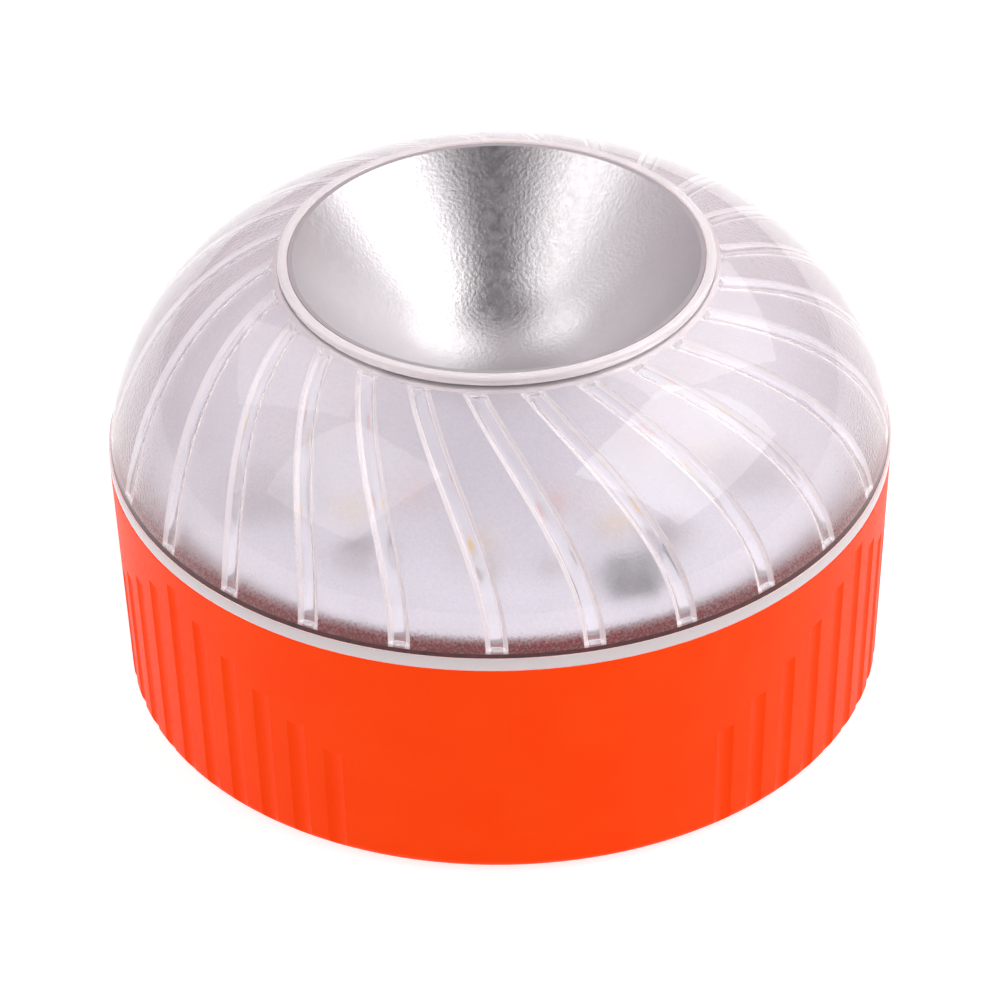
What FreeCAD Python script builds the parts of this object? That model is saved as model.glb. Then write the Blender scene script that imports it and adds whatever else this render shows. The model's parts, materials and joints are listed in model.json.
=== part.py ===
import FreeCAD, Part
import math
import os
import re

import Sketcher
from FreeCAD import Placement, Rotation, Vector

# LED safety flare: a round battery beacon that stands on a rubber foot or clings to a steel
# roof by its magnet. Frame: millimetres, +Z up, Z = 0 under the foot, -Y is the front.

SIZES = {
    # cup
    "rim_radius": 40.0, "heel_radius": 38.7, "heel_round": 1.0, "heel_bend": 1.05,
    "cup_base": 0.4, "rim_level": 25.9,
    "floor_top": 3.6, "cup_wall": 2.4, "mouth_radius": 37.8, "mouth_depth": 5.0,
    # grip flutes, in groups that grow shorter away from their middle
    "flute_radius": 1.83, "flute_offset": 1.48, "flute_pitch": 6.0, "flute_drop": 2.0, "flute_step": 2.2,
    "flute_groups": 3, "flutes_each_side": 5,
    # dome
    "dome_wall": 1.8, "flange_top": 27.4, "ledge_level": 27.0, "shoulder_level": 24.424,
    "shoulder_axis": 15.39, "shoulder_radius": 24.61, "shoulder_sweep": 71.76, "crown_radius": 91.5,
    "lip_outer": 22.2, "lip_inner": 21.15, "lip_top": 48.5, "seat_level": 46.3, "seat_inner": 19.4,
    "seat_under": 45.3, "skirt_outer": 37.5, "skirt_inner": 36.0, "skirt_foot": 22.9,
    "seal_bottom": 23.6, "seal_top": 24.8, "seal_groove": 36.9, "seal_gap": 0.02,
    # light ribs inside the dome
    "rib_count": 25, "rib_width": 2.2, "rib_height": 0.7, "rib_offset": 16.2, "rib_turn": -5.0,
    "rib_foot": 27.4, "rib_top": 47.0, "rib_bite": 0.2, "lip_draft": 0.1,
    # reflector funnel
    "funnel_rim": 21.05, "funnel_face": 48.36, "funnel_mouth": 20.6, "funnel_side": 80.0,
    "funnel_steep": 50.0, "funnel_turn": 40.0, "funnel_wall": 1.0, "funnel_collar": 19.2,
    # main board
    "board_radius": 35.0, "board_under": 25.0, "board_thick": 1.6, "post_x": 15.2, "post_y": 20.7,
    "post_radius": 2.2, "screw_shank": 1.2, "screw_hole": 1.25, "screw_depth": 8.0,
    "screw_end": 0.6,
    "screw_head": 2.6, "head_height": 1.7, "board_hole": 1.5,
    # lamps
    "lamp_length": 3.5, "lamp_width": 2.8, "lamp_height": 0.7, "lens_radius": 1.15, "lens_top": 0.92,
    "lens_height": 0.15,
    "inner_lamps": 6, "inner_lamp_ring": 14.5, "inner_lamp_turn": 18.0,
    "outer_lamps": 9, "outer_lamp_ring": 20.5, "outer_lamp_turn": -11.0,
    # coils, chip and small parts on the board
    "coil_side": 6.6, "coil_cap": 2.77, "coil_base_height": 2.1, "coil_height": 3.0,
    "coil_x": 25.0, "coil_y": 10.0, "coil_round": 1.2,
    "chip_length": 5.0, "chip_width": 4.0, "chip_height": 1.5, "chip_x": 11.0, "chip_y": 26.6,
    "chip_gap": 0.1, "chip_lead": 0.4, "chip_lead_height": 0.5, "chip_reach": 1.0, "chip_pitch": 1.27,
    "small_length": 2.0, "small_width": 1.25, "capacitor_height": 1.2, "resistor_height": 0.5,
    "capacitor_ring": 29.5, "resistor_ring": 31.5,
    # battery tray and three AAA cells
    "cell_radius": 5.25, "cell_length": 43.5, "nub_radius": 1.9, "nub_length": 1.0, "cell_pitch": 11.3,
    "cell_level": 9.85, "tray_half_x": 25.0, "tray_half_y": 17.25, "tray_wall": 1.15,
    "tray_round": 1.5, "tray_room_round": 0.8, "tray_screw_end": 0.1,
    "tray_top": 17.0, "tray_roof": 1.2, "lug_x": 22.3, "lug_y": 20.9, "lug_half": 2.6, "lug_height": 2.0,
    "tray_screw": 1.1, "tray_screw_hole": 1.15, "tray_screw_foot": 1.8, "tray_head": 2.1,
    "contact_side": 8.0, "contact_thick": 0.4, "dimple_height": 0.6,
    "dimple_foot": 2.2, "dimple_top": 1.6, "leaf_width": 5.6, "leaf_play": 0.02, "leaf_low": 1.2,
    "leaf_bend": 1.0, "leaf_high": 2.0,
    "pin_radius": 0.6, "pin_hole": 0.7, "pin_x": 22.0, "pin_y": 12.0, "pin_top": 27.6,
    "signal_pin_x": 3.0, "signal_pin_y": 24.5,
    # battery door with its magnet
    "opening_half_x": 25.0, "opening_half_y": 17.25, "opening_round": 3.0,
    "door_half_x": 31.0, "door_half_y": 19.0, "door_round": 9.5, "door_gap": 0.3, "door_thick": 1.4,
    "recess_top": 2.4, "gasket_inner_x": 25.1, "gasket_inner_y": 17.35, "gasket_band": 1.2,
    "gasket_round": 2.3,
    "door_screw_x": 28.6, "door_screw_shank": 1.0, "door_screw_hole": 1.05, "door_screw_head": 2.1,
    "door_head_height": 1.0, "door_screw_length": 7.4, "door_boss": 2.3, "door_boss_top": 11.0,
    "door_boss_end": 1.0, "door_screw_sunk": 0.15, "door_screw_ease": 0.1, "door_cross": 0.5,
    "door_cross_depth": 0.7,
    "magnet_radius": 10.0, "magnet_base": 0.5, "magnet_top": 2.7, "plate_thick": 0.8,
    "magnet_cup": 11.5, "magnet_cup_top": 4.3, "magnet_pocket": 10.05,
    # power button and its switch
    "button_y": 26.3, "button_radius": 5.0, "button_hole": 5.2, "button_base": 0.9,
    "collar_radius": 6.5, "collar_base": 4.1, "collar_thick": 0.8, "stem_radius": 1.5, "stem_top": 5.9,
    "seal_ring_inner": 5.4, "seal_ring_outer": 6.4, "dish_radius": 3.75, "button_dish": 0.25,
    "seal_play": 0.05,
    "plunger_radius": 1.2, "plunger_base": 6.0, "plunger_top": 7.6, "plunger_bore": 1.35, "bore_top": 8.4,
    "switch_base": 6.6, "switch_side": 6.0, "switch_board_level": 10.1, "switch_board_thick": 1.0,
    "switch_board_x": 12.0, "switch_board_y": 6.0, "switch_board_round": 2.0, "stake_x": 9.6,
    "stake_radius": 2.0, "stake_pin": 0.7, "stake_hole": 0.8, "stake_top": 11.7,
    # rubber foot
    "foot_inner": 33.6, "foot_outer": 36.6, "foot_top": 1.6, "foot_round": 0.3,

    "overshoot": 1.0, "bite": 0.1,
}

doc = FreeCAD.newDocument("SafetyFlare")
sheet = doc.addObject("Spreadsheet::Sheet", "Sizes")
for row, (alias, value) in enumerate(SIZES.items(), start=1):
    sheet.set(f"A{row}", alias)
    sheet.set(f"B{row}", str(value))
    sheet.setAlias(f"B{row}", alias)
doc.recompute()

NODES = []


# ---------------------------------------------------------------- helpers

def on_sheet(text):
    """An expression whose sizes are read from the sheet."""
    return re.sub(r"[a-z_]+", lambda m: "Sizes." + m.group() if m.group() in SIZES else m.group(), text)


def value_of(text):
    """What such an expression comes to now."""
    return float(sheet.evalExpression(on_sheet(text)))


def bind(thing, prop, text):
    thing.setExpression(prop, on_sheet(text))


def place(thing, x="0", y="0", z="0"):
    for axis, text in zip("xyz", (x, y, z)):
        bind(thing, f"Placement.Base.{axis}", text)
    return thing


def node(label, thing):
    """Names a finished sub-part after its file."""
    thing.Label = label
    NODES.append(thing)
    return thing


def cylinder(name, radius, height, x="0", y="0", z="0"):
    thing = doc.addObject("Part::Cylinder", name)
    bind(thing, "Radius", radius)
    bind(thing, "Height", height)
    return place(thing, x, y, z)


def cone(name, low, high, height, x="0", y="0", z="0"):
    thing = doc.addObject("Part::Cone", name)
    bind(thing, "Radius1", low)
    bind(thing, "Radius2", high)
    bind(thing, "Height", height)
    return place(thing, x, y, z)


def box(name, length, width, height, x="0", y="0", z="0"):
    """A box whose middle is over (x, y), standing on z."""
    thing = doc.addObject("Part::Box", name)
    bind(thing, "Length", length)
    bind(thing, "Width", width)
    bind(thing, "Height", height)
    return place(thing, f"({x}) - ({length}) / 2", f"({y}) - ({width}) / 2", z)


def turned_box(name, length, width, height, radius, degrees, z):
    """A box of this radius out from the middle, its length across the radius."""
    thing = doc.addObject("Part::Box", name)
    bind(thing, "Length", length)
    bind(thing, "Width", width)
    bind(thing, "Height", height)
    turn = Rotation(Vector(0, 0, 1), degrees)
    corner = Vector(-value_of(length) / 2, -value_of(radius) - value_of(width) / 2, value_of(z))
    thing.Placement = Placement(turn.multVec(corner), turn)
    return thing


def fuse(name, things):
    thing = doc.addObject("Part::MultiFuse", name)
    thing.Shapes = things
    return thing


def cut(name, base, tool):
    thing = doc.addObject("Part::Cut", name)
    thing.Base = base
    thing.Tool = tool
    return thing


def group(name, things):
    """Separate solids that make one node."""
    thing = doc.addObject("Part::Compound", name)
    thing.Links = things
    return thing


def outline(body, name, plane, corners, bends=None):
    """A closed sketch through these corners, given as expressions.

    bends names the sides that are arcs: side number to (radius, 1 or -1), where 1 turns left.
    """
    bends = bends or {}
    sketch = body.newObject("Sketcher::SketchObject", name)
    role = next(f for f in body.Origin.OriginFeatures if f.Role == plane)
    sketch.AttachmentSupport = [(role, "")]
    sketch.MapMode = "FlatFace"
    points = [Vector(value_of(x), value_of(y), 0) for x, y in corners]
    first_end = []
    for side, start in enumerate(points):
        end = points[(side + 1) % len(points)]
        if side in bends:
            radius, hand = bends[side]
            half = (end - start) / 2
            across = Vector(half.y, -half.x, 0).normalize() * hand
            rise = value_of(radius) - math.sqrt(value_of(radius) ** 2 - half.Length ** 2)
            middle = (start + end) / 2 + across * rise
            geometry = sketch.addGeometry(Part.Arc(start, middle, end), False)
            forward = sketch.getPoint(geometry, 1).distanceToPoint(start) < 1e-6
            first_end.append((1, 2) if forward else (2, 1))
        else:
            sketch.addGeometry(Part.LineSegment(start, end), False)
            first_end.append((1, 2))
    for side, (x, y) in enumerate(corners):
        previous = (side - 1) % len(corners)
        sketch.addConstraint(Sketcher.Constraint(
            "Coincident", previous, first_end[previous][1], side, first_end[side][0]))
        for kind, text in (("DistanceX", x), ("DistanceY", y)):
            number = sketch.addConstraint(Sketcher.Constraint(
                kind, -1, 1, side, first_end[side][0], value_of(text)))
            if text != "0":
                bind(sketch, f"Constraints[{number}]", text)
        if side in bends:
            number = sketch.addConstraint(Sketcher.Constraint("Radius", side, value_of(bends[side][0])))
            bind(sketch, f"Constraints[{number}]", bends[side][0])
    return sketch


def turned(name, corners, bends=None):
    """A body turned about the Z axis from a section of (radius, level) corners."""
    body = doc.addObject("PartDesign::Body", name)
    sketch = outline(body, name + "_section", "XZ_Plane", corners, bends)
    turn = body.newObject("PartDesign::Revolution", name + "_turn")
    turn.Profile = sketch
    turn.ReferenceAxis = (sketch, ["V_Axis"])
    turn.Angle = 360
    return body


def plate(name, half_x, half_y, corner, thick, x="0", y="0", z="0"):
    """A flat body with round corners, standing on z."""
    body = doc.addObject("PartDesign::Body", name)
    corners = [
        (f"-({half_x}) + {corner}", f"-({half_y})"), (f"{half_x} - {corner}", f"-({half_y})"),
        (half_x, f"-({half_y}) + {corner}"), (half_x, f"{half_y} - {corner}"),
        (f"{half_x} - {corner}", half_y), (f"-({half_x}) + {corner}", half_y),
        (f"-({half_x})", f"{half_y} - {corner}"), (f"-({half_x})", f"-({half_y}) + {corner}"),
    ]
    bends = {side: (corner, 1) for side in (1, 3, 5, 7)}
    sketch = outline(body, name + "_outline", "XY_Plane", corners, bends)
    pad = body.newObject("PartDesign::Pad", name + "_pad")
    pad.Profile = sketch
    bind(pad, "Length", thick)
    return place(body, x, y, z)


def four(x, y):
    """The same place in all four quarters."""
    return [(x, y), (f"-{x}", y), (f"-{x}", f"-{y}"), (x, f"-{y}")]


# ---------------------------------------------------------------- cup, foot and dome

def base_cup():
    """The orange cup: floor, drafted wall, posts and the openings in its floor."""
    slope = "(rim_radius - heel_radius) / (rim_level - cup_base)"
    shell = turned("cup_shell", [
        ("0", "cup_base"), ("foot_inner", "cup_base"), ("foot_inner", "foot_top"),
        ("foot_outer", "foot_top"), ("foot_outer", "cup_base"),
        ("heel_radius - heel_round", "cup_base"),
        (f"heel_radius + heel_round * {slope}", "cup_base + heel_round"),
        ("rim_radius", "rim_level"), ("mouth_radius", "rim_level"),
        ("mouth_radius", "rim_level - mouth_depth"),
        (f"rim_radius - mouth_depth * {slope} - cup_wall", "rim_level - mouth_depth"),
        (f"heel_radius + (floor_top - cup_base) * {slope} - cup_wall", "floor_top"),
        ("0", "floor_top"),
    ], {5: ("heel_bend", 1)})
    bosses = [shell]
    holes = []
    for i, (x, y) in enumerate(four("post_x", "post_y")):
        bosses.append(cylinder(f"post_{i}", "post_radius", "board_under - floor_top", x, y, "floor_top"))
        holes.append(cylinder(f"post_hole_{i}", "screw_hole", "screw_depth", x, y,
                              "board_under - screw_depth"))
    for i, x in enumerate(("door_screw_x", "-door_screw_x")):
        bosses.append(cylinder(f"door_boss_{i}", "door_boss", "door_boss_top - floor_top", x,
                               z="floor_top"))
        holes.append(cylinder(f"door_thread_{i}", "door_screw_hole", "door_boss_top - door_boss_end", x))
    for i, x in enumerate(("stake_x", "-stake_x")):
        bosses.append(cylinder(f"stake_{i}", "stake_radius", "switch_board_level - floor_top",
                               x, "-button_y", "floor_top"))
        bosses.append(cylinder(f"stake_pin_{i}", "stake_pin", "stake_top - floor_top",
                               x, "-button_y", "floor_top"))
    for i, (x, y) in enumerate((("lug_x", "lug_y"), ("-lug_x", "-lug_y"))):
        holes.append(cylinder(f"lug_thread_{i}", "tray_screw_hole", "floor_top - tray_screw_foot + overshoot",
                              x, y, "tray_screw_foot"))
    holes.append(cylinder("button_way", "button_hole", "floor_top + overshoot", y="-button_y"))
    holes.append(plate("door_recess", "door_half_x + door_gap", "door_half_y + door_gap",
                       "door_round", "recess_top + overshoot", z="-overshoot"))
    holes.append(plate("cell_way", "opening_half_x", "opening_half_y", "opening_round",
                       "floor_top + 2 * overshoot", z="-overshoot"))
    holes.append(flute_cutters())
    return node("base_cup", cut("cup", fuse("cup_with_bosses", bosses), fuse("cup_cutters", holes)))


def flute_cutters():
    """Round cutters that lean with the wall and leave shallow flutes."""
    slope = value_of("(rim_radius - heel_radius) / (rim_level - cup_base)")
    below = value_of("overshoot")
    each_side = int(value_of("flutes_each_side"))
    groups = int(value_of("flute_groups"))
    cutters = []
    for group_number in range(groups):
        middle = 180.0 + 360.0 / groups * group_number
        for step in range(-each_side, each_side + 1):
            name = f"flute_{group_number}_{step + each_side}"
            cutter = doc.addObject("Part::Cylinder", name)
            bind(cutter, "Radius", "flute_radius")
            bind(cutter, "Height", f"(rim_level - flute_drop - {abs(step)} * flute_step + overshoot)")
            turn = Rotation(Vector(0, 0, 1), middle + step * value_of("flute_pitch"))
            lean = Rotation(Vector(1, 0, 0), math.degrees(math.atan(slope)))
            foot = Vector(0, below * slope - value_of("heel_radius + flute_offset"), -below)
            cutter.Placement = Placement(turn.multVec(foot), turn.multiply(lean))
            cutters.append(cutter)
    return fuse("flutes", cutters)


def rubber_foot():
    """A ring pressed into the groove under the cup, with a softened tread."""
    return node("rubber_foot", turned("foot", [
        ("foot_inner + foot_round", "0"), ("foot_outer - foot_round", "0"), ("foot_outer", "foot_round"),
        ("foot_outer", "foot_top"), ("foot_inner", "foot_top"), ("foot_inner", "foot_round"),
    ], {1: ("foot_round", 1), 5: ("foot_round", 1)}))


def on_crown(radius, inset):
    """The level of the crown, or of the surface inset below it, at this radius."""
    middle = "(shoulder_axis + (shoulder_radius - crown_radius) * cos(shoulder_sweep))"
    level = "shoulder_level + (shoulder_radius - crown_radius) * sin(shoulder_sweep)"
    return f"{level} + sqrt((crown_radius - {inset})^2 - ({radius} - {middle})^2)"


def on_shoulder(level, inset):
    """The radius of the shoulder, or of the surface inset below it, at this level."""
    return f"shoulder_axis + sqrt((shoulder_radius - {inset})^2 - ({level} - shoulder_level)^2)"


def tangent_point(inset):
    """Where the shoulder meets the crown."""
    return (f"shoulder_axis + (shoulder_radius - {inset}) * cos(shoulder_sweep)",
            f"shoulder_level + (shoulder_radius - {inset}) * sin(shoulder_sweep)")


def clear_dome():
    """The clear dome: smooth outside, slanted light ribs inside, a seat for the funnel on top."""
    wall = "dome_wall"
    shell = turned("dome_shell", [
        ("skirt_outer", "rim_level"), ("rim_radius", "rim_level"), ("rim_radius", "flange_top"),
        (on_shoulder("flange_top", "0"), "flange_top"), tangent_point("0"),
        ("lip_outer", on_crown("lip_outer", "0")), ("lip_outer - lip_draft", "lip_top"),
        ("lip_inner", "lip_top"), ("lip_inner", "seat_level"), ("seat_inner", "seat_level"),
        ("seat_inner", "seat_under"), tangent_point(wall),
        (on_shoulder("ledge_level", wall), "ledge_level"), ("skirt_inner", "ledge_level"),
        ("skirt_inner", "skirt_foot"), ("skirt_outer", "skirt_foot"),
        ("skirt_outer", "seal_bottom"), ("seal_groove", "seal_bottom"),
        ("seal_groove", "seal_top"), ("skirt_outer", "seal_top"),
    ], {3: ("shoulder_radius", 1), 4: ("crown_radius", 1), 11: ("shoulder_radius - dome_wall", -1)})
    inset = "dome_wall + rib_height"
    zone = turned("rib_zone", [
        (on_shoulder("rib_foot", "dome_wall - rib_bite"), "rib_foot"), tangent_point("dome_wall - rib_bite"),
        tangent_point(inset), (on_shoulder("rib_foot", inset), "rib_foot"),
    ], {0: ("shoulder_radius - dome_wall + rib_bite", 1), 2: (f"shoulder_radius - ({inset})", -1)})
    count = int(value_of("rib_count"))
    foot_angle = math.degrees(math.asin(value_of("rib_offset") / value_of("rim_radius - dome_wall")))
    slabs = []
    for i in range(count):
        slab = doc.addObject("Part::Box", f"rib_slab_{i}")
        bind(slab, "Length", "rim_radius")
        bind(slab, "Width", "rib_width")
        bind(slab, "Height", "rib_top - rib_foot")
        turn = Rotation(Vector(0, 0, 1), value_of("rib_turn") - 90.0 + foot_angle + i * 360.0 / count)
        corner = Vector(0, -value_of("rib_offset + rib_width / 2"), value_of("rib_foot"))
        slab.Placement = Placement(turn.multVec(corner), turn)
        slabs.append(slab)
    ribs = doc.addObject("Part::Common", "ribs")
    ribs.Base = zone
    ribs.Tool = group("rib_slabs", slabs)
    return node("clear_dome", fuse("dome", [shell, ribs]))


def dome_seal_ring():
    return node("dome_seal_ring", turned("seal", [
        ("seal_groove", "seal_bottom + seal_gap"), ("mouth_radius - seal_gap", "seal_bottom + seal_gap"),
        ("mouth_radius - seal_gap", "seal_top - seal_gap"), ("seal_groove", "seal_top - seal_gap"),
    ]))


def reflector_cone():
    """A metallised funnel shell whose rim drops onto the dome's seat.

    Its side is one wide arc, steepest at the mouth. A smaller arc, tangent to it where the slope
    has eased to funnel_turn, rounds the bottom.
    """
    axis = "(funnel_mouth - funnel_side * sin(funnel_steep))"
    height = "(funnel_face + funnel_side * cos(funnel_steep))"
    bend = f"{axis} + funnel_side * sin(funnel_turn)"
    bend_level = f"{height} - funnel_side * cos(funnel_turn)"
    bottom = f"({bend}) / sin(funnel_turn)"
    bottom_level = f"{bend_level} - {bottom} * (1 - cos(funnel_turn))"
    collar_level = f"{height} - sqrt((funnel_side + funnel_wall)^2 - (funnel_collar - {axis})^2)"
    return node("reflector_cone", turned("funnel", [
        ("0", f"{bottom_level} - funnel_wall"),
        (f"{bend} + funnel_wall * sin(funnel_turn)", f"{bend_level} - funnel_wall * cos(funnel_turn)"),
        ("funnel_collar", collar_level),
        ("funnel_collar", "seat_level"), ("funnel_rim", "seat_level"), ("funnel_rim", "funnel_face"),
        ("funnel_mouth", "funnel_face"), (bend, bend_level), ("0", bottom_level),
    ], {0: (f"{bottom} + funnel_wall", 1), 1: ("funnel_side + funnel_wall", 1),
        6: ("funnel_side", -1), 7: (bottom, -1)}))


# ---------------------------------------------------------------- main board

BOARD_TOP = "board_under + board_thick"


def led_board():
    disc = cylinder("board_disc", "board_radius", "board_thick", z="board_under")
    holes = []
    for i, (x, y) in enumerate(four("post_x", "post_y")):
        holes.append(cylinder(f"board_hole_{i}", "board_hole", "board_thick + 2 * overshoot", x, y,
                              "board_under - overshoot"))
    for i, (x, y) in enumerate(pin_places()):
        holes.append(cylinder(f"board_pin_hole_{i}", "pin_hole", "board_thick + 2 * overshoot", x, y,
                              "board_under - overshoot"))
    return node("led_board", cut("board", disc, fuse("board_holes", holes)))


def pin_places():
    """Two supply pins from the cells and two signal pins from the switch."""
    return [("pin_x", "pin_y"), ("-pin_x", "pin_y"),
            ("signal_pin_x", "-signal_pin_y"), ("-signal_pin_x", "-signal_pin_y")]


def lamps(ring):
    """One ring of lamps: square packages, each with a round phosphor lens."""
    count = int(value_of(f"{ring}_lamps"))
    packages = []
    lenses = []
    for i in range(count):
        degrees = value_of(f"{ring}_lamp_turn") + 360.0 * i / count
        packages.append(turned_box(f"{ring}_package_{i}", "lamp_length", "lamp_width", "lamp_height",
                                   f"{ring}_lamp_ring", degrees, BOARD_TOP))
        angle = f"({degrees} - 90)"
        lenses.append(cone(f"{ring}_lens_{i}", "lens_radius", "lens_top", "lens_height",
                           f"{ring}_lamp_ring * cos{angle}", f"{ring}_lamp_ring * sin{angle}",
                           f"{BOARD_TOP} + lamp_height"))
    node(f"{ring}_led_packages", group(f"{ring}_packages", packages))
    node(f"{ring}_led_lenses", group(f"{ring}_lenses", lenses))


def pan_screw(name, shank, head, length, head_height, x, y, top):
    """A screw under the level top, its driver recess sunk in a domed head."""
    body = fuse(name + "_body", [
        cylinder(name + "_shank", shank, f"{length} + bite", x, y, f"{top} - ({length})"),
        cylinder(name + "_skirt", head, f"({head_height}) * 0.5", x, y, top),
        cone(name + "_crown", head, f"({head}) * 0.72", f"({head_height}) * 0.5", x, y,
             f"{top} + ({head_height}) * 0.5"),
    ])
    slots = fuse(name + "_cross", [
        box(name + "_slot_a", f"({head}) * 1.1", f"({head}) * 0.22", head_height, x, y,
            f"{top} + ({head_height}) * 0.5"),
        box(name + "_slot_b", f"({head}) * 0.22", f"({head}) * 1.1", head_height, x, y,
            f"{top} + ({head_height}) * 0.5"),
    ])
    return cut(name, body, slots)


def board_screws():
    screws = [pan_screw(f"board_screw_{i}", "screw_shank", "screw_head",
                        "board_thick + screw_depth - screw_end", "head_height", x, y, BOARD_TOP)
              for i, (x, y) in enumerate(four("post_x", "post_y"))]
    return node("board_screws", group("board_screw_group", screws))


def power_coils():
    """Two shielded coils: a square base and a round cap each."""
    coils = []
    for side, x in (("left", "-coil_x"), ("right", "coil_x")):
        coils.append(fuse(f"coil_{side}", [
            plate(f"coil_{side}_base", "coil_side / 2", "coil_side / 2", "coil_round",
                  "coil_base_height", x, "-coil_y", BOARD_TOP),
            cylinder(f"coil_{side}_cap", "coil_cap", "coil_height", x, "-coil_y", BOARD_TOP),
        ]))
    return node("power_coils", group("coil_pair", coils))


def driver_chip():
    """The lamp driver with four leads along each long side."""
    parts = [box("chip_case", "chip_length", "chip_width", "chip_height - chip_gap", "chip_x", "-chip_y",
                 f"{BOARD_TOP} + chip_gap")]
    for i in range(4):
        for side in (1, -1):
            parts.append(box(f"chip_lead_{i}_{side + 1}", "chip_lead", "chip_reach + chip_lead",
                             "chip_lead_height", f"chip_x + ({i} - 1.5) * chip_pitch",
                             f"{side} * (chip_width + chip_reach) / 2 - chip_y", BOARD_TOP))
    return node("driver_chip", fuse("chip", parts))


CAPACITOR_TURNS = (160, 172, -172, 196)
RESISTOR_TURNS = (-100, -92, 92, 100, 128)


def small_parts(label, angles, ring, height):
    """Small two-ended parts soldered in an arc round the board."""
    parts = [turned_box(f"{label}_{i}", "small_length", "small_width", height, ring, degrees, BOARD_TOP)
             for i, degrees in enumerate(angles)]
    return node(label, group(label + "_group", parts))


# ---------------------------------------------------------------- cells and contacts

def battery_tray():
    """A tray open below, closed above, that holds three cells side by side."""
    outer = plate("tray_outer", "tray_half_x + tray_wall", "tray_half_y + tray_wall",
                  "tray_round", "tray_top - floor_top", z="floor_top")
    lugs = [box(f"lug_{i}", "2 * lug_half", "2 * lug_half + overshoot", "lug_height", f"{side} * lug_x",
                f"{side} * (lug_y - overshoot / 2)", "floor_top") for i, side in enumerate((1, -1))]
    room = plate("tray_room", "tray_half_x", "tray_half_y", "tray_room_round",
                 "tray_top - tray_roof - floor_top + overshoot", z="floor_top - overshoot")
    holes = [room]
    for i, side in enumerate((1, -1)):
        holes.append(cylinder(f"lug_hole_{i}", "tray_screw_hole", "lug_height + 2 * overshoot",
                              f"{side} * lug_x", f"{side} * lug_y", "floor_top - overshoot"))
    return node("battery_tray", cut("tray", fuse("tray_solid", [outer] + lugs), fuse("tray_holes", holes)))


def tray_screws():
    screws = [pan_screw(f"tray_screw_{i}", "tray_screw", "tray_head",
                        "lug_height + floor_top - tray_screw_foot - tray_screw_end", "head_height",
                        f"{side} * lug_x", f"{side} * lug_y", "floor_top + lug_height")
              for i, side in enumerate((1, -1))]
    return node("tray_screws", group("tray_screw_pair", screws))


CELL_ROWS = (("1", "-cell_pitch", 1), ("2", "0", -1), ("3", "cell_pitch", 1))


def battery_cell(number, row, way):
    """An AAA cell along X whose nub points the given way."""
    can = doc.addObject("Part::Cylinder", f"can_{number}")
    bind(can, "Radius", "cell_radius")
    bind(can, "Height", "cell_length")
    nub = doc.addObject("Part::Cylinder", f"nub_{number}")
    bind(nub, "Radius", "nub_radius")
    bind(nub, "Height", "nub_length + bite")
    along = Rotation(Vector(0, 1, 0), 90.0 * way)
    shift = way * value_of("(tray_half_x - contact_thick - dimple_height - nub_length - cell_length)")
    level = value_of("cell_level")
    y = value_of(row)
    can.Placement = Placement(Vector(shift, y, level), along)
    end = shift + way * value_of("cell_length - bite")
    nub.Placement = Placement(Vector(end, y, level), along)
    return node(f"battery_cell_{number}", fuse(f"cell_{number}", [can, nub]))


def contacts():
    """Dimpled plates at the nubs and bent leaves at the flat ends."""
    flats = []
    springs = []
    for number, row, way in CELL_ROWS:
        face = f"{way} * (tray_half_x - contact_thick / 2)"
        base = "cell_level - contact_side / 2"
        dimple = doc.addObject("Part::Cone", f"dimple_{number}")
        bind(dimple, "Radius1", "dimple_foot")
        bind(dimple, "Radius2", "dimple_top")
        bind(dimple, "Height", "dimple_height + bite")
        start = value_of(f"{way} * (tray_half_x - contact_thick + bite)")
        dimple.Placement = Placement(Vector(start, value_of(row), value_of("cell_level")),
                                     Rotation(Vector(0, 1, 0), -90.0 * way))
        flats.append(fuse(f"flat_contact_{number}", [
            box(f"flat_plate_{number}", "contact_thick", "contact_side", "contact_side", face, row, base),
            dimple]))
        springs.append(leaf_spring(number, row, -way))
    node("flat_contacts", group("flat_contact_group", flats))
    node("spring_contacts", group("spring_contact_group", springs))


def leaf_spring(number, row, way):
    """A plate on the tray's end wall with a leaf bowed out to the flat end of its cell."""
    body = doc.addObject("PartDesign::Body", f"leaf_{number}")
    wall = f"{way} * tray_half_x"
    inner = f"{way} * (tray_half_x - contact_thick)"
    reach = "(contact_thick + dimple_height + nub_length + cell_length - tray_half_x + leaf_play)"
    nose = f"{way} * {reach}"
    back = f"{way} * ({reach} + contact_thick)"
    low = "cell_level - contact_side / 2"
    sketch = outline(body, f"leaf_{number}_side", "XZ_Plane", [
        (wall, low), (wall, "cell_level + contact_side / 2"), (inner, "cell_level + contact_side / 2"),
        (inner, f"{low} + leaf_bend"), (back, "cell_level - leaf_bend"), (back, "cell_level + leaf_high"),
        (nose, "cell_level + leaf_high"), (nose, "cell_level - leaf_low"), (inner, low),
    ])
    pad = body.newObject("PartDesign::Pad", f"leaf_{number}_pad")
    pad.Profile = sketch
    bind(pad, "Length", "leaf_width")
    return place(body, y=f"{row} + leaf_width / 2")


def pins():
    """Upright pins that carry the cells' and the switch's wires to the main board."""
    supply = [cylinder(f"supply_pin_{i}", "pin_radius", "pin_top - tray_top", x, y, "tray_top")
              for i, (x, y) in enumerate(pin_places()[:2])]
    base = "switch_board_level + switch_board_thick"
    signal = [cylinder(f"signal_pin_{i}", "pin_radius", f"pin_top - ({base})", x, y, base)
              for i, (x, y) in enumerate(pin_places()[2:])]
    node("supply_pins", group("supply_pin_pair", supply))
    node("signal_pins", group("signal_pin_pair", signal))


# ---------------------------------------------------------------- power button

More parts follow.
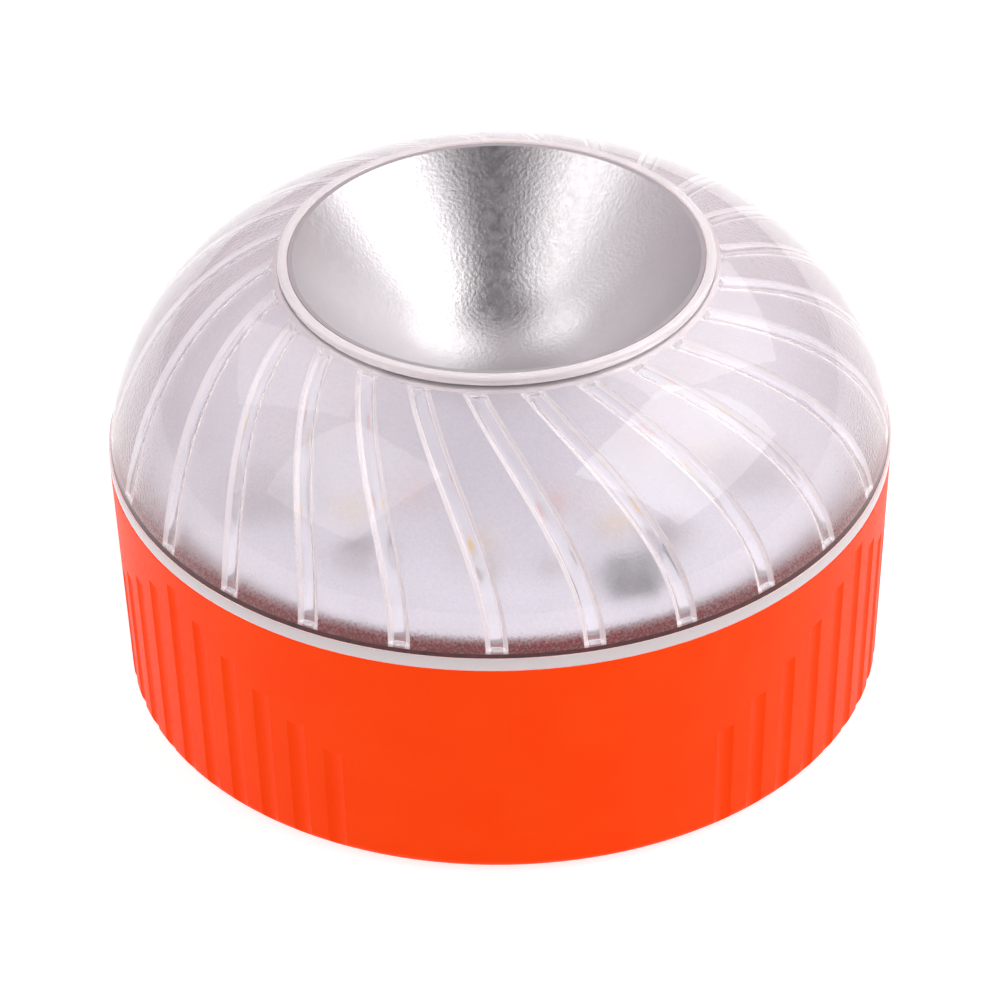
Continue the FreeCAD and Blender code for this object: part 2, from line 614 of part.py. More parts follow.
def power_button():
    """A cap in the cup's floor, a collar that keeps it in and a stem for the switch."""
    parts = [
        cylinder("button_cap", "button_radius", "collar_base - button_base + bite", y="-button_y",
                 z="button_base"),
        cylinder("button_collar", "collar_radius", "collar_thick", y="-button_y", z="collar_base"),
        cylinder("button_stem", "stem_radius", "stem_top - collar_base", y="-button_y", z="collar_base"),
    ]
    dish = cone("button_dish_cut", "dish_radius", "dish_radius - 3 * button_dish", "button_dish",
                y="-button_y", z="button_base")
    return node("power_button", cut("button", fuse("button_solid", parts), dish))


def button_seal():
    outer = cylinder("button_seal_outer", "seal_ring_outer", "collar_base - floor_top - seal_play",
                     y="-button_y", z="floor_top")
    inner = cylinder("button_seal_inner", "seal_ring_inner", "2 * overshoot", y="-button_y",
                     z="floor_top - overshoot")
    return node("button_seal", cut("button_seal_ring", outer, inner))


def switch_parts():
    board = plate("switch_board_blank", "switch_board_x", "switch_board_y", "switch_board_round",
                  "switch_board_thick", y="-button_y", z="switch_board_level")
    holes = [cylinder(f"stake_hole_{i}", "stake_hole", "switch_board_thick + 2 * overshoot", x, "-button_y",
                      "switch_board_level - overshoot") for i, x in enumerate(("stake_x", "-stake_x"))]
    node("switch_board", cut("switch_board_cut", board, fuse("switch_board_holes", holes)))
    case = box("switch_case", "switch_side", "switch_side", "switch_board_level - switch_base",
               y="-button_y", z="switch_base")
    bore = cylinder("switch_bore", "plunger_bore", "bore_top - switch_base + overshoot", y="-button_y",
                    z="switch_base - overshoot")
    node("tact_switch_case", cut("tact_switch", case, bore))
    node("tact_plunger", cylinder("plunger", "plunger_radius", "plunger_top - plunger_base",
                                  y="-button_y", z="plunger_base"))


# ---------------------------------------------------------------- battery door

def battery_door():
    """The door: a rounded plate with a raised cup for the magnet and two screw holes."""
    blank = plate("door_blank", "door_half_x", "door_half_y", "door_round", "door_thick", z="cup_base")
    raised = cylinder("door_raised", "magnet_cup", "magnet_cup_top - cup_base", z="cup_base")
    tools = [cylinder("magnet_room", "magnet_pocket", "magnet_top + plate_thick")]
    for i, x in enumerate(("door_screw_x", "-door_screw_x")):
        tools.append(cylinder(f"door_hole_{i}", "door_screw_hole + door_screw_ease",
                              "recess_top + overshoot", x, z="-overshoot"))
        tools.append(cylinder(f"door_head_room_{i}", "door_screw_head + door_screw_sunk",
                              "door_head_height", x, z="cup_base"))
    return node("battery_door", cut("door", fuse("door_solid", [blank, raised]), fuse("door_tools", tools)))


def door_gasket():
    base = "cup_base + door_thick"
    outer = plate("gasket_outer", "gasket_inner_x + gasket_band", "gasket_inner_y + gasket_band",
                  "gasket_round + gasket_band", f"recess_top - ({base})", z=base)
    inner = plate("gasket_inner", "gasket_inner_x", "gasket_inner_y", "gasket_round",
                  "recess_top + overshoot", z="0")
    return node("door_gasket", cut("gasket", outer, inner))


def door_screws():
    """Screws driven from below: the head's flat face lies just inside the door's outer face."""
    screws = []
    for i, x in enumerate(("door_screw_x", "-door_screw_x")):
        head_base = "cup_base + door_screw_sunk"
        solid = fuse(f"door_screw_solid_{i}", [
            cylinder(f"door_screw_head_{i}", "door_screw_head", "door_head_height - door_screw_sunk", x,
                     z=head_base),
            cylinder(f"door_screw_shank_{i}", "door_screw_shank", "door_screw_length", x, z=head_base),
        ])
        cross = fuse(f"door_screw_cross_{i}", [
            box(f"door_slot_a_{i}", "door_screw_head * 1.1", "door_cross", "door_cross_depth", x,
                z=head_base),
            box(f"door_slot_b_{i}", "door_cross", "door_screw_head * 1.1", "door_cross_depth", x,
                z=head_base),
        ])
        screws.append(cut(f"door_screw_{i}", solid, cross))
    return node("door_screws", group("door_screw_pair", screws))


def magnet():
    node("magnet", cylinder("magnet_disc", "magnet_radius", "magnet_top - magnet_base", z="magnet_base"))
    node("magnet_back_plate", cylinder("back_plate", "magnet_radius", "plate_thick", z="magnet_top"))


# ---------------------------------------------------------------- build, check and write

base_cup()
rubber_foot()
clear_dome()
dome_seal_ring()
reflector_cone()
led_board()
lamps("inner")
lamps("outer")
board_screws()
power_coils()
driver_chip()
small_parts("capacitors", CAPACITOR_TURNS, "capacitor_ring", "capacitor_height")
small_parts("resistors", RESISTOR_TURNS, "resistor_ring", "resistor_height")
battery_tray()
tray_screws()
for number, row, way in CELL_ROWS:
    battery_cell(number, row, way)
contacts()
pins()
power_button()
button_seal()
switch_parts()
battery_door()
door_gasket()
door_screws()
magnet()
doc.recompute()

faults = [f"{thing.Label}: {thing.State}" for thing in doc.Objects
          if "Invalid" in thing.State or "Error" in thing.State]
for thing in NODES:
    if thing.Shape.isNull() or not thing.Shape.isValid() or not thing.Shape.Solids:
        faults.append(f"{thing.Label}: shape is not a valid solid")
if faults:
    raise RuntimeError("; ".join(faults))

os.makedirs("parts", exist_ok=True)
for thing in NODES:
    thing.Shape.exportStep(os.path.join("parts", thing.Label + ".step"))
    print(f"{thing.Label}: {len(thing.Shape.Solids)} solids, {thing.Shape.Volume:.1f} mm3")
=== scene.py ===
import bpy
import json
import math

from mathutils import Matrix, Vector


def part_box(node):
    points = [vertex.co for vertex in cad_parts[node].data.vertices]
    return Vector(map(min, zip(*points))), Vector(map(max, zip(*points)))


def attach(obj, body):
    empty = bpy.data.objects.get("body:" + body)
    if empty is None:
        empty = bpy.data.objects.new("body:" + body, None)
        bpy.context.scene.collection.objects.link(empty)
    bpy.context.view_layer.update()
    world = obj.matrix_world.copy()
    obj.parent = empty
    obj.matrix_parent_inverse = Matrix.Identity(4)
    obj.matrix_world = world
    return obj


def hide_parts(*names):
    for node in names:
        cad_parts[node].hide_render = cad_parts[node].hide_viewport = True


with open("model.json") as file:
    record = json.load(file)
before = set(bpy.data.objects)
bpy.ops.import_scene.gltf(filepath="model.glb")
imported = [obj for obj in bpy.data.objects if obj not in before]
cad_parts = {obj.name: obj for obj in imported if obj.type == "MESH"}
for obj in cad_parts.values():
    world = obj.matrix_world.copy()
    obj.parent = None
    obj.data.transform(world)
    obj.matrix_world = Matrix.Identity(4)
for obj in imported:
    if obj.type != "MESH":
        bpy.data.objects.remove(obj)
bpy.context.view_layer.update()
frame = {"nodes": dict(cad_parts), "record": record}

nodes = frame["nodes"]
MM = 0.001
TURN = 2 * math.pi

# ---------------------------------------------------------------- sizes, in millimetres

RIM_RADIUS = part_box("base_cup")[1].x / MM
RIM_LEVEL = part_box("base_cup")[1].z / MM
DOME_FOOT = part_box("clear_dome")[0].z / MM
DOME_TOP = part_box("clear_dome")[1].z / MM

SHOULDER_AXIS = 15.39
SHOULDER_RADIUS = 24.61
SHOULDER_SWEEP = math.radians(71.76)
SHOULDER_LEVEL = RIM_LEVEL - 1.476
CROWN_RADIUS = 91.5
DOME_WALL = 1.8
LIP_ARC = SHOULDER_RADIUS * SHOULDER_SWEEP + 0.95
LIP_WIDTH = 1.05

FLANGE_TOP = RIM_LEVEL + 1.5
LEDGE_LEVEL = RIM_LEVEL + 1.1
SKIRT_OUTER = 37.5
SKIRT_INNER = 36.0
SEAL_GROOVE_DEPTH = 0.6
SEAL_GROOVE_BOTTOM = DOME_FOOT + 0.7
SEAL_GROOVE_TOP = DOME_FOOT + 1.9
SEAT_LEVEL = 46.3
SEAT_INNER = 19.4
SEAT_THICKNESS = 1.0

RIBS = 25
RIB_WIDTH = 2.2
RIB_HEIGHT = 0.75
RIB_START = 3.0
RIB_END = 31.0
RIB_TWIST = math.radians(19.5)
RIB_TURN = math.radians(-5.0)
RIB_END_ROUNDING = 0.35
RIB_EDGE_PLACE = 0.6
NARROWEST_RIB_RING = 18.0

# painted shade: levels where a dark red band, standing in for the orange cup in shadow seen through the
# clear wall, is painted on the dome's inside
PAINTED_SHADE_FULL = RIM_LEVEL + 1.9
PAINTED_SHADE_GONE = RIM_LEVEL + 3.4


# ---------------------------------------------------------------- helpers

def mesh_object(name, points, faces, material_of_face=None, materials=(), sharp=35.0):
    """A mesh piece from points in millimetres, smooth except at edges sharper than the angle."""
    mesh = bpy.data.meshes.new(name)
    mesh.from_pydata([Vector(p) * MM for p in points], [], faces)
    for material in materials:
        mesh.materials.append(material)
    if material_of_face:
        mesh.polygons.foreach_set("material_index", material_of_face)
    mesh.polygons.foreach_set("use_smooth", [True] * len(mesh.polygons))
    mesh.set_sharp_from_angle(angle=math.radians(sharp))
    piece = bpy.data.objects.new(name, mesh)
    bpy.context.scene.collection.objects.link(piece)
    return piece


def ring_faces(rows, columns):
    """Quads between rows of a turned grid whose last row joins the first."""
    faces = []
    for row in range(rows):
        here, there = row * columns, (row + 1) % rows * columns
        for column in range(columns):
            right = (column + 1) % columns
            faces.append((here + column, here + right, there + right, there + column))
    return faces


def polar(radius, level, azimuth):
    """A point at this radius and level; azimuth 0 is the front, -Y, and grows towards +X."""
    return (radius * math.sin(azimuth), -radius * math.cos(azimuth), level)


def smooth(x):
    x = min(max(x, 0.0), 1.0)
    return x * x * (3 - 2 * x)


# ---------------------------------------------------------------- materials

class Surface:
    """A material with its shader and short ways to add pattern nodes."""

    def __init__(self, name, color, roughness, **settings):
        self.material = bpy.data.materials.new(name)
        self.material.use_nodes = True
        self.tree = self.material.node_tree
        self.shader = self.tree.nodes["Principled BSDF"]
        self.shader.inputs["Base Color"].default_value = (*color, 1)
        self.shader.inputs["Roughness"].default_value = roughness
        for socket, value in settings.items():
            self.shader.inputs[socket.replace("_", " ")].default_value = value
        self.coordinates = self.tree.nodes.new("ShaderNodeTexCoord")

    def noise(self, size, detail=2.0, stretch=(1, 1, 1)):
        """Noise whose features are about size millimetres across."""
        scale = self.tree.nodes.new("ShaderNodeMapping")
        scale.inputs["Scale"].default_value = stretch
        self.tree.links.new(self.coordinates.outputs["Object"], scale.inputs["Vector"])
        noise = self.tree.nodes.new("ShaderNodeTexNoise")
        noise.inputs["Scale"].default_value = 1 / (size * MM)
        noise.inputs["Detail"].default_value = detail
        self.tree.links.new(scale.outputs["Vector"], noise.inputs["Vector"])
        return noise.outputs["Fac"]

    def ramp(self, value, low, high, start=0.3, end=0.7):
        """A value mapped from low to high between start and end."""
        ramp = self.tree.nodes.new("ShaderNodeMapRange")
        ramp.inputs["From Min"].default_value = start
        ramp.inputs["From Max"].default_value = end
        ramp.inputs["To Min"].default_value = low
        ramp.inputs["To Max"].default_value = high
        self.tree.links.new(value, ramp.inputs["Value"])
        return ramp.outputs["Result"]

    def vary_roughness(self, value, low, high):
        self.tree.links.new(self.ramp(value, low, high), self.shader.inputs["Roughness"])
        return self

    def vary_color(self, value, first, second, start=0.3, end=0.7):
        mix = self.tree.nodes.new("ShaderNodeMix")
        mix.data_type = "RGBA"
        mix.inputs["A"].default_value = (*first, 1)
        mix.inputs["B"].default_value = (*second, 1)
        self.tree.links.new(self.ramp(value, 0, 1, start, end), mix.inputs["Factor"])
        self.tree.links.new(mix.outputs["Result"], self.shader.inputs["Base Color"])
        return self

    def paint_shade_band(self, color, start, end, ragged):
        """Painted shade: the colour fades in below end and is full below start, in millimetres, with a
        ragged edge.
        """
        parts = self.tree.nodes.new("ShaderNodeSeparateXYZ")
        self.tree.links.new(self.coordinates.outputs["Object"], parts.inputs["Vector"])
        level = self.ramp(parts.outputs["Z"], 0, 1, start * MM, end * MM)
        edge = self.tree.nodes.new("ShaderNodeMath")
        edge.operation = "ADD"
        self.tree.links.new(level, edge.inputs[0])
        self.tree.links.new(self.ramp(self.noise(ragged), -0.25, 0.25), edge.inputs[1])
        mix = self.tree.nodes.new("ShaderNodeMix")
        mix.data_type = "RGBA"
        mix.inputs["A"].default_value = (*color, 1)
        self.tree.links.new(self.shader.inputs["Base Color"].links[0].from_socket, mix.inputs["B"])
        self.tree.links.new(self.ramp(edge.outputs["Value"], 0, 1, 0, 0.75), mix.inputs["Factor"])
        self.tree.links.new(mix.outputs["Result"], self.shader.inputs["Base Color"])
        return self

    def bump(self, value, height, strength=1.0):
        """Relief of about this height in millimetres; a second call adds to the first."""
        node = self.tree.nodes.new("ShaderNodeBump")
        node.inputs["Strength"].default_value = strength
        node.inputs["Distance"].default_value = height * MM
        self.tree.links.new(value, node.inputs["Height"])
        earlier = self.shader.inputs["Normal"].links
        if earlier:
            self.tree.links.new(earlier[0].from_socket, node.inputs["Normal"])
        self.tree.links.new(node.outputs["Normal"], self.shader.inputs["Normal"])
        return self

    def let_lamps_through(self, tint):
        """Shadow rays pass a clear part, so that what lies behind it is lit."""
        tree = self.tree
        output = tree.nodes["Material Output"]
        path = tree.nodes.new("ShaderNodeLightPath")
        clear = tree.nodes.new("ShaderNodeBsdfTransparent")
        clear.inputs["Color"].default_value = (*tint, 1)
        mix = tree.nodes.new("ShaderNodeMixShader")
        tree.links.new(path.outputs["Is Shadow Ray"], mix.inputs["Fac"])
        tree.links.new(self.shader.outputs["BSDF"], mix.inputs[1])
        tree.links.new(clear.outputs["BSDF"], mix.inputs[2])
        tree.links.new(mix.outputs["Shader"], output.inputs["Surface"])
        return self


def clear_surface(name, color, roughness, clarity):
    """Clear plastic; what clarity leaves out scatters white."""
    return Surface(name, color, roughness, Transmission_Weight=clarity, IOR=1.5)


def dome_materials():
    """Materials of the dome, in the order of its zones."""
    tint = (0.99, 0.965, 0.98)
    outside = clear_surface("dome_outside", (0.96, 0.915, 0.935), 0.03, 1.0)
    outside.bump(outside.noise(9.0), 0.01).let_lamps_through(tint)
    grain = clear_surface("dome_grain", (0.9, 0.85, 0.88), 0.3, 0.80)
    grain.vary_color(grain.noise(0.25, 3.0), (0.82, 0.785, 0.81), (0.93, 0.905, 0.925))
    # painted shade: dark red low on the inner wall, standing in for the shadowed orange cup seen
    # through it
    grain.paint_shade_band((0.30, 0.003, 0.008), PAINTED_SHADE_FULL, PAINTED_SHADE_GONE, 0.25)
    grain.vary_roughness(grain.noise(1.2), 0.30, 0.42)
    grain.bump(grain.noise(0.30, 2.0), 0.03).let_lamps_through(tint)
    ribs = clear_surface("dome_ribs", (0.99, 0.97, 0.985), 0.22, 0.78)
    ribs.bump(ribs.noise(1.2), 0.02).let_lamps_through(tint)
    edges = clear_surface("dome_rib_edges", (1.0, 0.98, 0.98), 0.45, 0.30)
    edges.bump(edges.noise(0.45), 0.03).let_lamps_through(tint)
    # painted shade: the clear foot and ledge get an opaque dark red that stands in for the orange cup
    # in shadow seen through them
    foot = clear_surface("dome_foot_painted_shade", (0.34, 0.035, 0.045), 0.4, 0.0)
    foot.vary_color(foot.noise(1.0), (0.10, 0.002, 0.006), (0.22, 0.012, 0.016))
    foot.bump(foot.noise(0.5), 0.03).let_lamps_through(tint)
    lip = clear_surface("dome_lip", (1.0, 0.96, 0.965), 0.2, 0.4)
    lip.bump(lip.noise(0.6), 0.02).let_lamps_through(tint)
    return [m.material for m in (outside, grain, ribs, edges, foot, lip)]


def cup_material():
    plastic = Surface("orange_plastic", (1.0, 0.075, 0.006), 0.42, Specular_IOR_Level=0.1,
                      Specular_Tint=(1.0, 0.45, 0.12, 1.0))
    plastic.vary_color(plastic.noise(6.0), (1.0, 0.052, 0.001), (1.0, 0.060, 0.002))
    plastic.vary_roughness(plastic.noise(0.4), 0.38, 0.48)
    plastic.bump(plastic.noise(0.18, 2.0), 0.006)
    return plastic.material


def metallised_material():
    metal = Surface("metallised", (0.66, 0.64, 0.65), 0.36, Metallic=1.0)
    metal.vary_roughness(metal.noise(0.8), 0.32, 0.40)
    metal.bump(metal.noise(0.36, 3.0), 0.036)
    return metal.material


def plain_materials():
    """Materials of the pieces inside and below, by the record's slot."""
    made = {}

    def add(slot, color, roughness, grain, relief, second=None, **settings):
        surface = Surface(slot, color, roughness, **settings)
        surface.vary_roughness(surface.noise(grain * 3), roughness * 0.85, min(1, roughness * 1.15))
        surface.vary_color(surface.noise(grain * 8), color, second or tuple(c * 0.9 for c in color))
        surface.bump(surface.noise(grain), relief)
        made[slot] = surface.material

    add("rubber", (0.022, 0.022, 0.023), 0.75, 0.3, 0.02)
    add("seal_rubber", (0.03, 0.03, 0.032), 0.6, 0.3, 0.01)
    add("red_silicone", (0.50, 0.015, 0.03), 0.5, 0.3, 0.01)
    add("white_board", (0.86, 0.91, 0.97), 0.35, 0.6, 0.008)
    add("lamp_package", (0.86, 0.86, 0.84), 0.45, 0.2, 0.004)
    add("amber_phosphor", (0.95, 0.22, 0.10), 0.3, 0.2, 0.01)
    add("yellow_phosphor", (0.98, 0.62, 0.04), 0.3, 0.2, 0.01)
    add("screw_steel", (0.70, 0.70, 0.72), 0.4, 0.3, 0.006, Metallic=1.0)
    add("coil_ferrite", (0.66, 0.66, 0.67), 0.45, 0.3, 0.02)
    add("chip_black", (0.20, 0.235, 0.245), 0.5, 0.2, 0.01)
    add("capacitor_tan", (0.42, 0.26, 0.13), 0.45, 0.2, 0.006)
    add("tray_plastic", (0.035, 0.035, 0.038), 0.55, 0.35, 0.015)
    add("cell_wrap", (0.05, 0.05, 0.055), 0.35, 0.8, 0.006)
    add("contact_metal", (0.72, 0.66, 0.50), 0.3, 0.3, 0.005, Metallic=1.0)
    add("switch_green", (0.02, 0.14, 0.05), 0.4, 0.5, 0.006)
    add("plunger_plastic", (0.70, 0.68, 0.63), 0.45, 0.3, 0.006)
    add("button_plastic", (0.04, 0.04, 0.042), 0.5, 0.25, 0.012)
    add("magnet_plate", (0.70, 0.70, 0.72), 0.16, 0.5, 0.004, Metallic=1.0)
    made["orange_plastic"] = cup_material()
    made["metallised"] = metallised_material()
    return made


# ---------------------------------------------------------------- dome

def dome_point(along, depth):
    """Radius and level at an arc length from the shoulder's level, depth below the dome's surface."""
    turn = along / SHOULDER_RADIUS
    if turn <= SHOULDER_SWEEP:
        radius = SHOULDER_RADIUS - depth
        return (SHOULDER_AXIS + radius * math.cos(turn), SHOULDER_LEVEL + radius * math.sin(turn))
    turn = SHOULDER_SWEEP + (along - SHOULDER_SWEEP * SHOULDER_RADIUS) / CROWN_RADIUS
    shift = SHOULDER_RADIUS - CROWN_RADIUS
    radius = CROWN_RADIUS - depth
    return (SHOULDER_AXIS + shift * math.cos(SHOULDER_SWEEP) + radius * math.cos(turn),
            SHOULDER_LEVEL + shift * math.sin(SHOULDER_SWEEP) + radius * math.sin(turn))


def rib_lean(along):
    """How far round a rib has turned at this arc length."""
    share = min(max((along - RIB_START) / (RIB_END - RIB_START), 0.0), 1.1)
    return -RIB_TWIST * share ** 1.8


ACROSS = (-1.0, -0.94, -0.8, -0.55, -0.28, 0.0, 0.28, 0.55, 0.8, 0.94, 1.0)
BETWEEN = 7


def rib_columns(along, radius):
    """(azimuth, place across the rib or None) for every column of the grid at this arc length."""
    step = 0.2
    slant = (rib_lean(along + step) - rib_lean(along - step)) * radius / (2 * step)
    half = RIB_WIDTH / 2 * math.hypot(1, slant) / radius
    pitch = TURN / RIBS
    columns = []
    for rib in range(RIBS):
        middle = RIB_TURN + rib * pitch + rib_lean(along)
        columns += [(middle + half * place, place) for place in ACROSS]
        gap = pitch - 2 * half
        columns += [(middle + half + gap * (i + 1) / (BETWEEN + 1), None) for i in range(BETWEEN)]
    return columns


def rib_depth(along, place):
    """How far a rib stands in from the wall at this place."""
    if place is None:
        return 0.0
    end = smooth(min(along - RIB_START, RIB_END - along) / RIB_END_ROUNDING)
    return RIB_HEIGHT * end * (1 - abs(place) ** 3.5)


def steps(start, end, count):
    return [start + (end - start) * i / count for i in range(count + 1)]


OUTSIDE, GRAIN, RIB_FACE, RIB_EDGE, FOOT, LIP = range(6)


def dome_rows():
    """The section as a closed loop of rows: (radius, level, arc length, zone up to the next row)."""
    rows = [(r, z, RIB_START, OUTSIDE) for r, z in (
        (SKIRT_OUTER - 0.2, DOME_FOOT), (SKIRT_OUTER, DOME_FOOT + 0.2),
        (SKIRT_OUTER, SEAL_GROOVE_BOTTOM), (SKIRT_OUTER - SEAL_GROOVE_DEPTH, SEAL_GROOVE_BOTTOM),
        (SKIRT_OUTER - SEAL_GROOVE_DEPTH, SEAL_GROOVE_TOP), (SKIRT_OUTER, SEAL_GROOVE_TOP),
        (SKIRT_OUTER, RIM_LEVEL),
    )]
    rows += [(r, z, RIB_START, LIP) for r, z in (
        (RIM_RADIUS - 0.25, RIM_LEVEL), (RIM_RADIUS - 0.07, RIM_LEVEL + 0.07),
        (RIM_RADIUS, RIM_LEVEL + 0.25), (RIM_RADIUS, FLANGE_TOP - 0.2),
        (RIM_RADIUS - 0.05, FLANGE_TOP - 0.05), (RIM_RADIUS - 0.2, FLANGE_TOP - 0.02),
    )]
    rows.append((RIM_RADIUS - 0.32, FLANGE_TOP - 0.06, RIB_START, OUTSIDE))
    start = SHOULDER_RADIUS * math.asin((FLANGE_TOP - SHOULDER_LEVEL) / SHOULDER_RADIUS)
    for along in steps(start, LIP_ARC, 60):
        rows.append((*dome_point(along, 0), along, OUTSIDE))
    lip_radius, lip_level = dome_point(LIP_ARC, 0)
    inner = lip_radius - LIP_WIDTH
    top = DOME_TOP
    for radius, level in (
        (lip_radius - 0.08, lip_level + 0.1), (lip_radius - 0.14, top - 0.1),
        (lip_radius - 0.26, top - 0.02), (lip_radius - 0.55, top), (inner + 0.12, top - 0.02),
        (inner, top - 0.14), (inner, SEAT_LEVEL), (SEAT_INNER, SEAT_LEVEL),
        (SEAT_INNER, SEAT_LEVEL - SEAT_THICKNESS),
    ):
        rows.append((radius, level, RIB_END, LIP))
    ends = [0.0, 0.05, 0.12, 0.2, 0.28, 0.36]
    inside = [RIB_START + e for e in ends] + steps(RIB_START + 0.8, RIB_END - 0.8, 56)
    inside += [RIB_END - e for e in reversed(ends)]
    inside = [RIB_START - 0.2] + inside + [RIB_END + 0.1]
    for along in reversed(inside):
        rows.append((*dome_point(along, DOME_WALL), along, GRAIN))
    rows[-1] = (*rows[-1][:3], FOOT)
    rows += [(r, z, RIB_START, FOOT) for r, z in (
        (SKIRT_INNER + 0.1, LEDGE_LEVEL), (SKIRT_INNER, LEDGE_LEVEL - 0.1),
        (SKIRT_INNER, DOME_FOOT + 0.1), (SKIRT_INNER + 0.1, DOME_FOOT))]
    return rows


def rib_zone(place):
    """Material number of a column inside the dome: wall, rib face or rib edge."""
    if place >= len(ACROSS) - 1:
        return GRAIN
    middle = abs(ACROSS[place] + ACROSS[place + 1]) / 2
    return RIB_EDGE if middle > RIB_EDGE_PLACE else RIB_FACE


def dome_lens():
    """The clear dome as one closed mesh: smooth outside, ribs and grain inside."""
    rows = dome_rows()
    points = []
    for radius, level, along, zone in rows:
        ribbed = zone == GRAIN
        for azimuth, place in rib_columns(along, max(radius, NARROWEST_RIB_RING)):
            depth = rib_depth(along, place) if ribbed else 0.0
            if depth:
                points.append(polar(*dome_point(along, DOME_WALL + depth), azimuth))
            else:
                points.append(polar(radius, level, azimuth))
    columns = (len(ACROSS) + BETWEEN) * RIBS
    faces = ring_faces(len(rows), columns)
    kinds = []
    for row in range(len(rows)):
        zone = rows[row][3]
        for column in range(columns):
            kinds.append(rib_zone(column % (len(ACROSS) + BETWEEN)) if zone == GRAIN else zone)
    piece = mesh_object("dome_lens", points, faces, kinds, dome_materials(), sharp=40.0)
    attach(piece, "housing")
    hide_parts("clear_dome")


# ---------------------------------------------------------------- studio and camera

CAMERA_AZIMUTH = math.radians(-4.0)
CAMERA_ELEVATION = math.radians(34.77)
CAMERA_ROLL = math.radians(1.048)
CAMERA_DISTANCE = 17.93 * RIM_RADIUS * MM
LENS = 252.0


def camera():
    azimuth, elevation = CAMERA_AZIMUTH, CAMERA_ELEVATION
    back = Vector((math.sin(azimuth) * math.cos(elevation), -math.cos(azimuth) * math.cos(elevation),
                   math.sin(elevation)))
    right = Vector((math.cos(azimuth), math.sin(azimuth), 0))
    up = back.cross(right)
    tilt = Matrix.Rotation(-CAMERA_ROLL, 3, back)
    right, up = tilt @ right, tilt @ up
    data = bpy.data.cameras.new("camera")
    data.lens = LENS
    data.sensor_width = 36.0
    data.clip_end = 10.0
    data.shift_y = -0.0613
    eye = bpy.data.objects.new("camera", data)
    place = Matrix((right, up, back)).transposed().to_4x4()
    place.translation = Vector((0, 0, RIM_LEVEL * MM)) + back * CAMERA_DISTANCE
    eye.matrix_world = place
    bpy.context.scene.collection.objects.link(eye)
    bpy.context.scene.camera = eye


def softbox(name, azimuth, elevation, distance, width, height, power):
    """A rectangular lamp that faces the object, its distance and size in metres."""
    data = bpy.data.lights.new(name, "AREA")
    data.shape = "RECTANGLE"
    data.size = width
    data.size_y = height
    data.energy = power
    lamp = bpy.data.objects.new(name, data)
    a, e = math.radians(azimuth), math.radians(elevation)
    back = Vector((math.sin(a) * math.cos(e), -math.cos(a) * math.cos(e), math.sin(e)))
    right = Vector((math.cos(a), math.sin(a), 0))
    place = Matrix((right, back.cross(right), back)).transposed().to_4x4()
    place.translation = Vector((0, 0, 0.03)) + back * distance
    lamp.matrix_world = place
    bpy.context.scene.collection.objects.link(lamp)


# dark stripe, the room's walls, and the low part behind the object
DARK = (0.04, 0.03, 0.035, 1)
PALE = (0.62, 0.57, 0.60, 1)
DUSK = (0.62, 0.54, 0.57, 1)

# where each fades in, from the first value to the second, along one axis of the direction
STRIPE_SIDES = (0.60, 0.22)
STRIPE_FRONT = (0.45, 0.0)
STRIPE_ABOVE = (0.15, 0.45)
DUSK_BEHIND = (-0.2, 0.2)
DUSK_LOW = (0.45, 0.12)


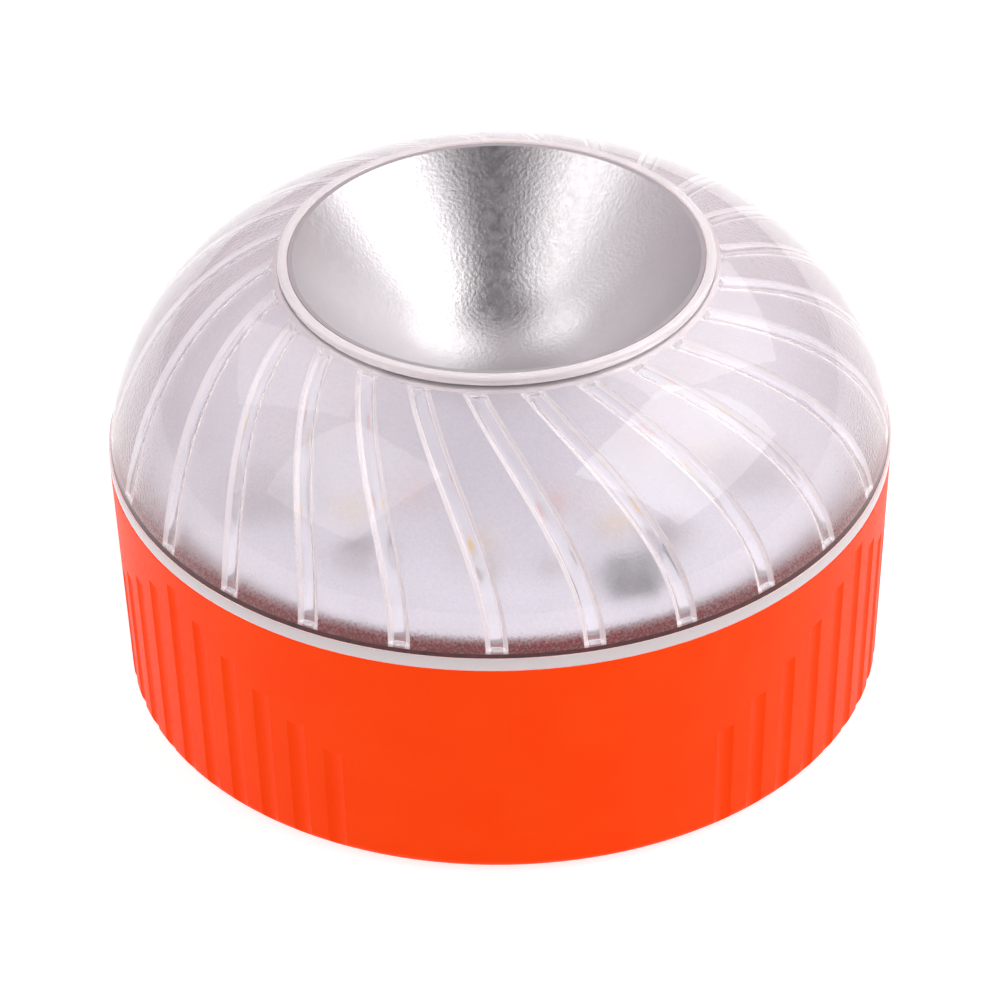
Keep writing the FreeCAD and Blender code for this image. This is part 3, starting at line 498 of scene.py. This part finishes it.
def room():
    """Even light from the sides and the back; a dark stripe from in front to overhead."""
    world = bpy.data.worlds.new("studio")
    world.use_nodes = True
    tree = world.node_tree

    def fade(value, start, end):
        """0 below start, 1 above end, or the other way round."""
        node = tree.nodes.new("ShaderNodeMapRange")
        node.interpolation_type = "SMOOTHSTEP"
        node.inputs["From Min"].default_value = start
        node.inputs["From Max"].default_value = end
        tree.links.new(value, node.inputs["Value"])
        return node.outputs["Result"]

    def combine(operation, first, second=None):
        node = tree.nodes.new("ShaderNodeMath")
        node.operation = operation
        tree.links.new(first, node.inputs[0])
        if second:
            tree.links.new(second, node.inputs[1])
        return node.outputs["Value"]

    def blend(first, second, share):
        node = tree.nodes.new("ShaderNodeMix")
        node.data_type = "RGBA"
        if isinstance(first, tuple):
            node.inputs["A"].default_value = first
        else:
            tree.links.new(first, node.inputs["A"])
        node.inputs["B"].default_value = second
        tree.links.new(share, node.inputs["Factor"])
        return node.outputs["Result"]

    direction = tree.nodes.new("ShaderNodeTexCoord")
    parts = tree.nodes.new("ShaderNodeSeparateXYZ")
    tree.links.new(direction.outputs["Generated"], parts.inputs["Vector"])
    middle = fade(combine("ABSOLUTE", parts.outputs["X"]), *STRIPE_SIDES)
    front = fade(parts.outputs["Y"], *STRIPE_FRONT)
    above = fade(parts.outputs["Z"], *STRIPE_ABOVE)
    stripe = combine("MULTIPLY", combine("MULTIPLY", middle, front), above)
    behind = fade(parts.outputs["Y"], *DUSK_BEHIND)
    low = fade(parts.outputs["Z"], *DUSK_LOW)
    color = blend(PALE, DUSK, combine("MULTIPLY", behind, low))
    color = blend(color, DARK, stripe)
    tree.links.new(color, tree.nodes["Background"].inputs["Color"])
    return world


def studio():
    material = Surface("floor_paper", (0.45, 0.45, 0.45), 0.8, Emission_Color=(1, 1, 1, 1),
                       Emission_Strength=0.80)
    material.bump(material.noise(1.0), 0.01)
    far = 3000
    corners = [(-far, -far, 0), (far, -far, 0), (far, far, 0), (-far, far, 0)]
    floor = mesh_object("studio_floor", corners, [(0, 1, 2, 3)], materials=[material.material])
    floor.location.z = -0.0001
    softbox("softbox_right", 72, 44, 0.9, 0.72, 0.7, 3.6)
    softbox("softbox_left", -64, 44, 0.9, 0.52, 0.7, 1.7)
    softbox("softbox_right_back", 134, 46, 0.9, 0.5, 0.6, 1.4)
    softbox("softbox_left_back", -128, 48, 0.9, 0.45, 0.5, 0.8)
    bpy.context.scene.world = room()
    view = bpy.context.scene.view_settings
    view.view_transform = "Standard"
    cycles = bpy.context.scene.cycles
    cycles.max_bounces = 16
    cycles.transmission_bounces = 14
    cycles.transparent_max_bounces = 16


# ---------------------------------------------------------------- build

def dress_nodes():
    """Every CAD node that stays gets the material of its slot."""
    made = plain_materials()
    for entry in frame["record"]["subparts"]:
        piece = nodes[entry["node"]]
        if entry["material_slot"] in made:
            piece.data.materials.clear()
            piece.data.materials.append(made[entry["material_slot"]])


dress_nodes()
dome_lens()
studio()
camera()
